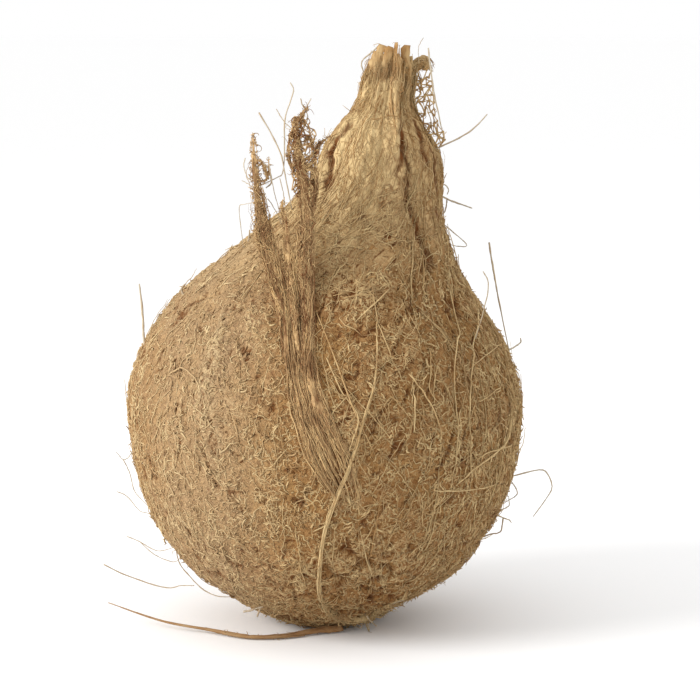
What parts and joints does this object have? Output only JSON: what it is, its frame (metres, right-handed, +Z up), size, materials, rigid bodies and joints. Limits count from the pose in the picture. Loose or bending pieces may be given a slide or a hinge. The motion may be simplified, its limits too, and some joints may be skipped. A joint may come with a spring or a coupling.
{
  "type": "husked coconut",
  "caption": "Husked coconut in its coat of brown fibre, with a pointed crown and torn husk strands; rests upright on a small flat spot.",
  "frame": {"origin": "centre of the small flat spot that the nut rests on", "axes": "+Z up, from the flat spot towards the torn crown; -Y is the front, the side with the standing husk strands; +X is the side that the crown leans to"},
  "size_m": [0.1262, 0.1188, 0.1751],
  "materials": {
    "fibre_coat": "dull dry coconut fibre, pale tan over reddish brown pith",
    "reddish_husk": "dull reddish brown husk fibre",
    "pale_husk": "dull straw-coloured husk fibre",
    "base_strip": "dull dry husk strip"
  },
  "bodies": {
    "root": {"husked_nut": "fibre_coat", "left_husk_strand": "reddish_husk", "middle_husk_strand": "reddish_husk", "right_husk_strand": "reddish_husk", "front_husk_strand": "pale_husk", "base_husk_strip": "base_strip"}
  },
  "joints": []
}
